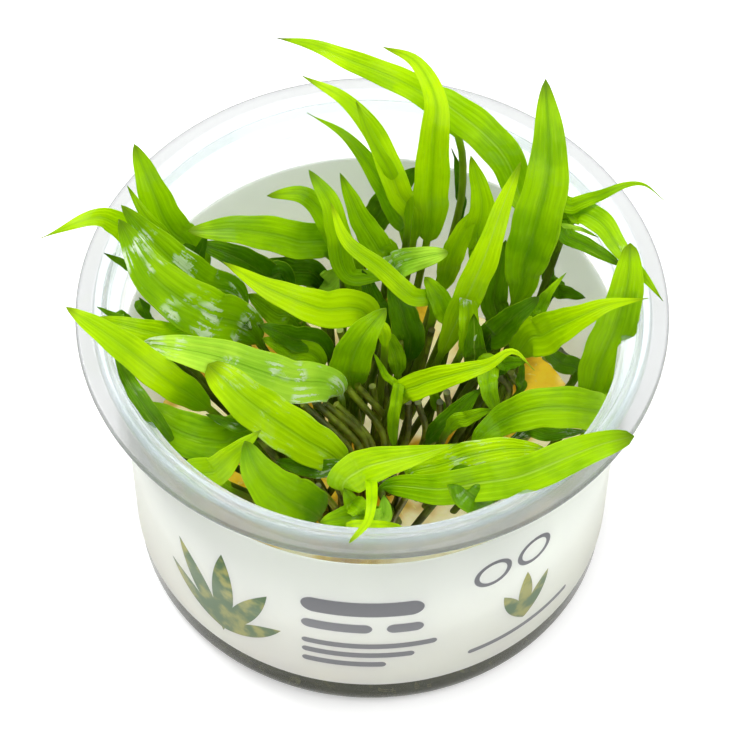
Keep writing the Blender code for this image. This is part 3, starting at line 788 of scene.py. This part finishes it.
leaf("leaf_left_tip", (-10, -9), [(-28.5, -25.5, 46)],
     [(-25.8, -27.0, 51.0), (-22.4, -26.2, 55.5), (-18.3, -23.5, 58.0)], 5.6, "bright", belly=0.25, full=1.1)
leaf("leaf_left_wall", (-13.5, -4), [(-32.5, -9, 34.5)],
     [(-36.2, -10.8, 43), (-40.9, -7.6, 49)], 2.8, "shaded")
leaf("leaf_left_high", (-6, 8.5), [(-5.5, 22, 43.5)],
     [(-13.2, 17.5, 56), (-22.5, 13.5, 64), (-31.2, 10.9, 67)], 6.4, full=1.0)
leaf("leaf_left_under", (-7.5, 6.5), [(-14.5, 18.5, 40.5)],
     [(-18.1, 17.2, 46), (-23.1, 15.8, 53), (-29.7, 15.9, 57)], 5.2, "shaded", full=1.0)
leaf("leaf_left_bright", (-4.5, 5), [(-0.5, 11, 41)],
     [(-9.2, 4.6, 54), (-17.6, 2.8, 62), (-25.1, 4.5, 67)], 6.6, "bright", tone=1.3, belly=0.3)
leaf("leaf_left_inner", (-5, 3), [(-7.5, 8, 35.5)], [(-13.7, 4.8, 45), (-19.4, 3.5, 50.5)], 4.6, "shaded")

# Small leaves
# Young and half-hidden leaves that sprout between the large ones, the same in make
# and fixing. They lie among their neighbours and reach no further out.


def small_leaf(*sizes, **looks):
    """A leaf that stands in for no CAD node."""
    return leaf(*sizes, **looks, node=False)


small_leaf("small_back", (4, 12), [(14.9, 34.7, 38)],
     [(15, 36.7, 44), (14.5, 38.7, 50), (14.1, 41.1, 54)], 1.4, "shaded", tone=0.2)
small_leaf("small_right_yellow", (18, 7), [(30.8, 22.7, 52)],
     [(32, 20.1, 57), (35.2, 17.4, 60), (38.2, 14.2, 62)], 1.1, "pale", tone=0.9)
small_leaf("small_right_dark", (17, 3), [(30.6, 20, 36)],
     [(32.6, 18.8, 40), (36.7, 14.6, 44)], 2.6, "shaded", tone=0.5)
small_leaf("small_right_back", (17, 8), [(30.1, 19.9, 36)],
     [(30.4, 20.9, 42), (30.5, 21.2, 50)], 2.2, "shaded", tone=0.6)
small_leaf("small_right_edge", (22, -6), [(41.4, -4.8, 38)],
     [(41.7, -3.4, 42), (41.2, -1.1, 47)], 1.6, "bright", tone=0.8)
small_leaf("small_right_inner", (12, -3), [(24.9, 3.2, 30)],
     [(25.6, 2.8, 36), (25.9, 2.7, 42)], 1.6, "shaded", tone=0.9)
small_leaf("small_curl_under", (10, 0), [(21.4, -0.5, 42)],
     [(22.7, -1, 46), (26.1, -3.4, 50)], 2.6, "shaded", tone=0.6)
small_leaf("small_front_mid", (8, -4), [(13.1, -7.9, 36)],
     [(16.4, -9.5, 42), (20.4, -10.4, 46)], 2.6, "middle", tone=0.4)
small_leaf("small_front_amber", (0, -11), [(0.3, -33.2, 46)],
     [(2.3, -33.5, 48), (2.2, -30.9, 50)], 3.2, "pale", tone=0.1)
small_leaf("small_front_strip", (1, -12), [(-3.4, -36.9, 50)],
     [(1.3, -38.7, 53), (4.4, -40.4, 55), (6, -42.4, 56)], 1.3, "bright", tone=0.9)
small_leaf("small_front_fold", (-3, -9), [(-1.4, -33, 48)],
     [(-3.1, -32.3, 50), (-4.4, -30.9, 52)], 3.6, "middle", tone=0.7)
small_leaf("small_front_round", (-6, -8), [(-15.3, -24, 38)],
     [(-13.2, -25.7, 43), (-10, -25.6, 45)], 3, "shaded", tone=0.8, wet=1.0)
small_leaf("small_left_dark", (-8, -5), [(-18.4, -15.3, 48)],
     [(-22.3, -19.2, 53), (-27.6, -19, 56)], 2.4, "shaded", tone=0.3, wet=0.8)
small_leaf("small_left_edge", (-12, -3), [(-37.4, 2.8, 52)],
     [(-38.1, 2.1, 57), (-39.3, 2, 60)], 1.8, "shaded", tone=0.3)
small_leaf("small_left_sliver", (-14, 2), [(-37.8, 7.7, 56)],
     [(-41.3, 6.4, 63), (-45.1, 6.1, 67)], 1.7, "shaded", tone=0.5, tip=1.0)
small_leaf("small_left_short", (-12, 0), [(-39.2, -1.8, 56)],
     [(-42.6, -3.7, 62), (-46, -3.6, 65)], 1.6, "shaded", tone=0.5)
small_leaf("small_left_triangle", (-9, 6), [(-30.4, 12.8, 54)],
     [(-29.6, 12.6, 58), (-28.2, 14.1, 62)], 2.6, "shaded", tone=0.2)
small_leaf("small_left_crumple", (-11, -8), [(-29.7, -20.7, 42)],
     [(-32.9, -20.5, 47), (-36.6, -19.4, 50)], 4, "pale", tone=0.4, wavy=0.9, wet=0.9)
small_leaf("small_centre_bright", (0, 2), [(2.2, 4.2, 44)],
     [(0.3, 4.8, 49), (2, 4.6, 53)], 2.6, "bright", tone=0.6)
small_leaf("small_centre_stem", (-1, 3), [(4, -3.2, 40)],
     [(2.3, -2.1, 44), (0.3, -0.4, 48)], 1.3, "middle", tone=0.5)
small_leaf("small_centre_green", (3, 6), [(4.5, 5.7, 33)],
     [(3.4, 7.1, 40), (1.7, 7.4, 44)], 3.2, "middle", tone=0.4)
small_leaf("small_middle_wet", (6, 8), [(15.5, 4.7, 42)],
     [(16.3, 8.1, 52), (15.8, 10, 58)], 3.4, "middle", tone=0.8, wet=1.0)
small_leaf("small_wall_green", (-12, 7), [(-26.1, 16.4, 40)],
     [(-22.7, 8.2, 46), (-20.5, 2.8, 50)], 3, "shaded", tone=0.2, wet=1.0)
small_leaf("small_fill_olive", (-3, 9), [(-9.7, 28.7, 24)],
     [(-7.5, 28.2, 29), (-4.6, 28.4, 34)], 5, "pale", tone=0.2)
small_leaf("small_fill_back", (-6, 8), [(-8.4, 28.6, 26)],
     [(-14.6, 27.4, 34), (-19.4, 25.4, 39)], 5, "shaded", tone=0.1)
small_leaf("small_wall_left", (-13, -6), [(-28.1, -19.6, 38)],
     [(-35.4, -15.6, 44), (-39.2, -8.3, 47)], 4.4, "shaded", tone=0.6)
small_leaf("small_mid_right", (10, 7), [(21, 16.6, 30)],
     [(21.1, 18, 40), (22.9, 22.4, 50)], 4.8, "shaded", tone=1.0)
small_leaf("small_right_end", (19, -8), [(36.6, -9.7, 36)],
     [(38.9, -8.6, 42), (40.7, -6.6, 46)], 5, "middle", tone=0.7)
small_leaf("small_left_fill", (-8, 5), [(-12.6, 14.4, 34)],
     [(-16.7, 14.4, 39), (-21.5, 14.8, 44)], 4.6, "middle", tone=0.3)
small_leaf("small_left_low", (-6, 3), [(-8.6, 5.4, 36)],
     [(-13.7, 3.7, 43), (-18.8, 2.5, 48)], 4, "middle", tone=0.6)
small_leaf("small_centre_deep", (0, 5), [(2.2, 11.3, 38)],
     [(0.3, 13.3, 44), (-1.8, 15.7, 50)], 3.6, "shaded", tone=0.1)
small_leaf("small_left_corner", (-13, -8), [(-23.8, -23.4, 40)],
     [(-27.9, -23.7, 44), (-34.6, -20.5, 47)], 3.6, "middle", tone=0.4)
small_leaf("small_ledge_left", (-14, -6), [(-28, -21, 40), (-33.3, -21.5, 52)],
     [(-37.1, -20, 58.5), (-40.6, -14.6, 59.5), (-43, -9.3, 60)], 3, "shaded", tone=0.8)
small_leaf("small_right_wall", (20, -6), [(39.1, -9, 38)],
     [(40.8, -9.3, 46), (41.7, -8.4, 52)], 2.6, "bright", tone=0.6)
small_leaf("small_root_green", (5, -2), [(12, 2.6, 24)],
     [(11.2, 2.2, 30), (10, 1.3, 36)], 2.2, "middle", tone=0.2)
small_leaf("small_right_low", (20, 2), [(35.4, 10, 26)],
     [(32.7, 9.5, 32), (29.4, 7.8, 38)], 3.4, "shaded", tone=0.9)

# Bare stalks
# A thicket of thin olive stalks rises from the crown in the gel and ends among the
# blades. One tube follows each stalk's path, in Geometry Nodes.
BARE_RADIUS = 0.62
BARE_SIDES = 10
BARE_STEPS = 10
BARE_OLIVE = ((0.045, 0.060, 0.002), (0.27, 0.35, 0.010))
BARE_BROWN = (0.16, 0.12, 0.008)
# Foot on the gel, bend and end of each stalk
BARE_STALKS = (
    ((-4, -6), (-3.3, -7.7, 28), (-11.7, -5.5, 40)),
    ((-3, -5), (-1.6, -6.4, 27), (-9.7, -5.1, 40)),
    ((-2, -4), (-0.9, -4.5, 27), (-8, -3.9, 38)),
    ((-1, -4), (0.1, -4.2, 26), (-6.1, -2.6, 36)),
    ((0, -3), (2.2, -2.7, 26), (-4.1, -0.7, 38)),
    ((1, -3), (3.2, -1, 26), (-2.5, 0.7, 37)),
    ((-5, -7), (-6.2, -8.4, 28), (-13.9, -8.5, 40)),
    ((-5, -8), (-5, -8.4, 25), (-12.2, -8.6, 36)),
    ((-7, -9), (-13.5, -14, 30), (-19.2, -13.8, 42)),
    ((-7, -7), (-11.9, -10.6, 28), (-17.6, -11, 40)),
    ((-6, -9), (-9.2, -9, 22), (-16, -8.9, 34)),
    ((2, -3), (6, -1.7, 24), (6.3, -2.1, 36)),
    ((3, -3), (9.2, -1.7, 24), (8, -2.1, 36)),
    ((5, -2), (12.9, -0.2, 28), (12.9, -1.3, 38)),
    ((4, -3), (11.3, 0.8, 22), (11.8, -0.6, 34)),
    ((0, -1), (1.2, 0.8, 24), (0.1, 1.2, 36)),
    ((1, 0), (2.5, 3.2, 26), (1.7, 4, 38)),
    ((2, 2), (5.3, 8.6, 26), (4.8, 9.2, 38)),
    ((4, 3), (8.4, 10.7, 26), (10.3, 10.4, 40)),
    ((10, -1), (23.2, 3.7, 28), (22.1, 4, 36)),
    ((11, -1), (24.8, 3.8, 28), (24, 4.5, 36)),
    ((11, 5), (19.7, 18, 26), (22.2, 18.6, 36)),
    ((20, 0), (35.3, 13.8, 20), (30.2, 12, 30)),
    ((21, 1), (35.7, 14.2, 20), (32.8, 13.5, 30)),
    ((-1, -9), (-0.5, -11.4, 22), (-3.6, -15, 34)),
    ((2, -9), (4.7, -13.5, 24), (3.6, -16.3, 36)),
    ((3, -10), (6.7, -20.5, 38), (1.6, -22.8, 42)),
    ((-3, -11), (-4.4, -14.1, 22), (-7, -15, 34)),
    ((-4, -12), (-5.6, -16.9, 24), (-9, -19.7, 36)),
    ((-1, 2), (-3.8, 11.7, 26), (-5.6, 10.2, 40)),
    ((1, 3), (0, 17.1, 26), (-1.3, 16.7, 40)),
    ((-3, 1), (-7.4, 15.2, 24), (-12.6, 15.1, 36)),
)


def stalk_skin():
    """Olive stalk that turns brown and dark in patches."""
    made, finish = new_finish("stalk_skin")
    place = finish.place()
    patch = finish.noise(place, 130.0, 3.0)
    grain = finish.noise(place, 900.0, 2.0)
    olive = patch.ramp(0.40, 0.62).blend(*BARE_OLIVE)
    finish.surface(finish.skin(
        Base_Color=(grain.ramp(0.5, 0.7) * 0.4).blend(olive, BARE_BROWN),
        Roughness=0.35 + 0.2 * grain,
        Normal=finish.bump(grain, 0.3, 0.0003),
        Coat_Weight=0.3,
        Coat_Roughness=0.15,
    ))
    return made


def stalk_tubes(finish):
    """A node tree that turns edges into smooth closed tubes of one finish."""
    tree = bpy.data.node_groups.new("stalk_tubes", "GeometryNodeTree")
    tree.interface.new_socket("Geometry", in_out="INPUT", socket_type="NodeSocketGeometry")
    radius = tree.interface.new_socket("Radius", in_out="INPUT", socket_type="NodeSocketFloat")
    tree.interface.new_socket("Geometry", in_out="OUTPUT", socket_type="NodeSocketGeometry")
    entry, leave = tree.nodes.new("NodeGroupInput"), tree.nodes.new("NodeGroupOutput")
    paths = tree.nodes.new("GeometryNodeMeshToCurve")
    circle = tree.nodes.new("GeometryNodeCurvePrimitiveCircle")
    circle.inputs["Resolution"].default_value = BARE_SIDES
    tubes = tree.nodes.new("GeometryNodeCurveToMesh")
    tubes.inputs["Fill Caps"].default_value = True
    whole = tree.nodes.new("GeometryNodeRealizeInstances")
    dress = tree.nodes.new("GeometryNodeSetMaterial")
    dress.inputs["Material"].default_value = finish
    for start, end in ((entry.outputs["Geometry"], paths.inputs["Mesh"]),
                       (entry.outputs["Radius"], circle.inputs["Radius"]),
                       (paths.outputs["Curve"], tubes.inputs["Curve"]),
                       (circle.outputs["Curve"], tubes.inputs["Profile Curve"]),
                       (tubes.outputs["Mesh"], whole.inputs["Geometry"]),
                       (whole.outputs["Geometry"], dress.inputs["Geometry"]),
                       (dress.outputs["Geometry"], leave.inputs["Geometry"])):
        tree.links.new(start, end)
    return tree, radius.identifier


def bare_stalks():
    vertices, edges = [], []
    for foot, bend, end in BARE_STALKS:
        path = smooth_path([Vector((*foot, ROOT_HEIGHT)), Vector(bend), Vector(end)], BARE_STEPS)
        start = len(vertices)
        vertices += [point * MM for point in path]
        edges += [(start + index, start + index + 1) for index in range(len(path) - 1)]
    mesh = bpy.data.meshes.new("stalk_paths")
    mesh.from_pydata(vertices, edges, [])
    paths = add_object("stalk_paths", mesh)
    finish = stalk_skin()
    tree, radius = stalk_tubes(finish)
    grow = paths.modifiers.new("tubes", "NODES")
    grow.node_group = tree
    grow[radius] = BARE_RADIUS * MM
    return add_piece("bare_stalks", evaluated_mesh(paths, "bare_stalks"), finish)


bare_stalks()

# Table and studio
# The cup stands on a plain white table in a bright tent, with one broad soft
# lamp above and behind it on the left and a weaker one on the right.
TABLE_HALF = 3.0
TABLE_WHITE = ((0.97, 0.97, 0.97), (0.95, 0.95, 0.95))
WHITE = (1.0, 1.0, 1.0, 1.0)
TABLE_GLOW = 0.2
TENT_STRENGTH = 1.15
# Place in metres, side in metres and power in watts of each lamp
LAMPS = {
    "lamp_left": ((-0.45, 0.35, 0.75), 0.35, 4.0),
    "lamp_right": ((0.6, -0.1, 0.6), 0.4, 1.5),
}
# Target and distance in metres, pitch and roll in degrees, lens and sensor in millimetres
CAMERA_TARGET = Vector((0.00055, 0.0, 0.041))
CAMERA_DISTANCE = 0.857
CAMERA_PITCH = 54.6
CAMERA_ROLL = 0.53
CAMERA_LENS = 240.0
CAMERA_SENSOR = 36.0


def table():
    mesh = bpy.data.meshes.new("table")
    corners = [(x * TABLE_HALF, y * TABLE_HALF, 0) for x, y in ((-1, -1), (1, -1), (1, 1), (-1, 1))]
    mesh.from_pydata(corners, [], [(0, 1, 2, 3)])
    made, finish = new_finish("table_white")
    finish.surface(finish.skin(
        Base_Color=finish.noise(finish.place(), 8.0, 2.0).blend(*TABLE_WHITE),
        Roughness=0.9,
        Specular_IOR_Level=0.0,
        Emission_Color=WHITE,
        Emission_Strength=TABLE_GLOW,
    ))
    mesh.materials.append(made)
    add_object("table", mesh)


def lamps():
    for name, (place, side, power) in LAMPS.items():
        data = bpy.data.lights.new(name, "AREA")
        data.shape = "SQUARE"
        data.size = side
        data.energy = power
        made = add_object(name, data)
        made.location = place
        made.rotation_euler = (-Vector(place)).to_track_quat("-Z", "Y").to_euler()


def tent():
    world = bpy.data.worlds.new("tent")
    world.use_nodes = True
    background = world.node_tree.nodes["Background"]
    background.inputs["Color"].default_value = WHITE
    background.inputs["Strength"].default_value = TENT_STRENGTH
    bpy.context.scene.world = world
    bpy.context.scene.view_settings.view_transform = "Standard"


def camera():
    pitch = math.radians(CAMERA_PITCH)
    forward = Vector((0.0, math.cos(pitch), -math.sin(pitch)))
    data = bpy.data.cameras.new("camera")
    data.sensor_fit = "HORIZONTAL"
    data.sensor_width = CAMERA_SENSOR
    data.lens = CAMERA_LENS
    data.clip_start = 0.05
    made = add_object("camera", data)
    made.location = CAMERA_TARGET - forward * CAMERA_DISTANCE
    tilt = Matrix.Rotation(math.pi / 2 - pitch, 4, "X")
    made.rotation_euler = (tilt @ Matrix.Rotation(math.radians(CAMERA_ROLL), 4, "Z")).to_euler()
    bpy.context.scene.camera = made


table()
lamps()
tent()
camera()
